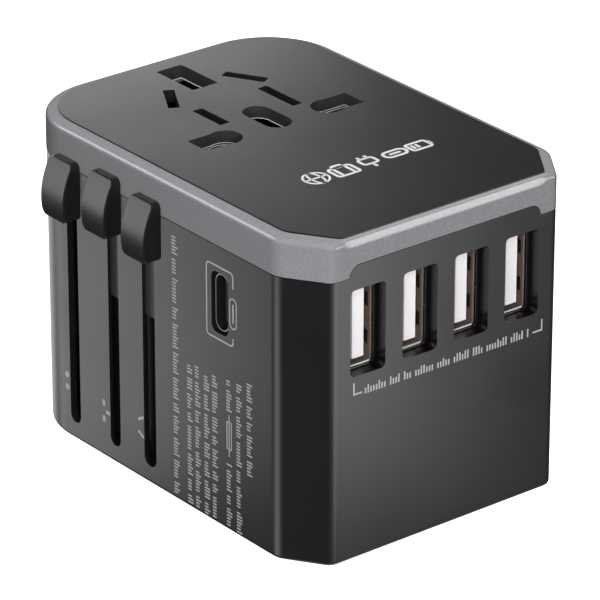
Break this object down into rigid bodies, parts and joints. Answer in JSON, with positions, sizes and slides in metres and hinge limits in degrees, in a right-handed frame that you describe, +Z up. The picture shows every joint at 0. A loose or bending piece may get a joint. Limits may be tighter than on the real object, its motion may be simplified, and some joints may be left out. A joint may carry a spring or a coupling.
{
  "type": "universal travel adapter",
  "caption": "Block-shaped travel adapter: sliding European, British and American plugs with side knobs, a universal socket on top, USB-A ports in front and a USB-C port on the side.",
  "frame": {"origin": "centre of the plug face, on which the adapter stands", "axes": "+Z up towards the sockets, -Y towards the face with the USB-A ports, +X across the width; the slider knobs are on the -X side"},
  "size_m": [0.0534, 0.069, 0.0504],
  "materials": {
    "shell": "satin",
    "band": "satin",
    "top_plate": "matte",
    "knob": "satin",
    "carriage": "satin",
    "shutter": "gloss",
    "insulator": "matte",
    "port_tongue": "satin",
    "sleeve": "satin",
    "circuit_board": "satin",
    "ferrite": "matte",
    "winding_tape": "satin",
    "capacitor_skin": "gloss",
    "ceramic": "gloss",
    "busbar": "satin",
    "contact_brass": "satin",
    "pin_nickel": "satin",
    "screw_steel": "satin",
    "port_metal": "satin"
  },
  "bodies": {
    "housing": {"body_shell": "shell", "base_plate": "shell", "base_screw_1": "screw_steel", "base_screw_2": "screw_steel", "base_screw_3": "screw_steel", "base_screw_4": "screw_steel", "top_band": "band", "top_plate": "top_plate", "socket_block": "insulator", "contact_line": "contact_brass", "contact_neutral": "contact_brass", "contact_earth": "contact_brass", "busbar_line": "busbar", "busbar_neutral": "busbar", "shutter_spring": "screw_steel", "slider_guide": "insulator", "usb_a_shell_1": "port_metal", "usb_a_tongue_1": "port_tongue", "usb_a_shell_2": "port_metal", "usb_a_tongue_2": "port_tongue", "usb_a_shell_3": "port_metal", "usb_a_tongue_3": "port_tongue", "usb_a_shell_4": "port_metal", "usb_a_tongue_4": "port_tongue", "usb_c_shell": "port_metal", "usb_c_tongue": "insulator", "port_board": "circuit_board", "mains_board": "circuit_board", "partition": "insulator", "transformer_core": "ferrite", "transformer_winding": "winding_tape", "capacitor_1": "capacitor_skin", "capacitor_2": "capacitor_skin", "choke_coil": "busbar", "fuse": "ceramic", "fuse_clip_1": "contact_brass", "fuse_clip_2": "contact_brass"},
    "eu_slider": {"eu_knob": "knob", "eu_carriage": "carriage", "eu_pin_left": "pin_nickel", "eu_pin_right": "pin_nickel"},
    "uk_slider": {"uk_knob": "knob", "uk_carriage": "carriage", "uk_pin_left": "pin_nickel", "uk_sleeve_left": "sleeve", "uk_pin_right": "pin_nickel", "uk_sleeve_right": "sleeve", "uk_pin_earth": "sleeve"},
    "us_slider": {"us_knob": "knob", "us_carriage": "carriage"},
    "us_left_blade": {"us_blade_left": "pin_nickel"},
    "us_right_blade": {"us_blade_right": "pin_nickel"},
    "shutter": {"socket_shutter": "shutter"}
  },
  "joints": [
    {"name": "eu_plug_slide", "type": "slide", "parent": "housing", "child": "eu_slider", "axis": [0, 0, -1], "range_m": [0, 0.023]},
    {"name": "uk_plug_slide", "type": "slide", "parent": "housing", "child": "uk_slider", "axis": [0, 0, -1], "range_m": [0, 0.023]},
    {"name": "us_plug_slide", "type": "slide", "parent": "housing", "child": "us_slider", "axis": [0, 0, -1], "range_m": [0, 0.023]},
    {"name": "us_left_blade_turn", "type": "hinge", "parent": "us_slider", "child": "us_left_blade", "pos_m": [-0.00635, -0.0043, 0.015], "axis": [0, 0, -1], "range_deg": [0, 30]},
    {"name": "us_right_blade_turn", "type": "hinge", "parent": "us_slider", "child": "us_right_blade", "pos_m": [0.00635, -0.0043, 0.015], "axis": [0, 0, 1], "range_deg": [0, 30]},
    {"name": "shutter_slide", "type": "slide", "parent": "housing", "child": "shutter", "axis": [0, -1, 0], "range_m": [0, 0.005], "stiffness_N_per_m": 120, "springref_m": -0.002, "deforming": ["shutter_spring"]}
  ]
}
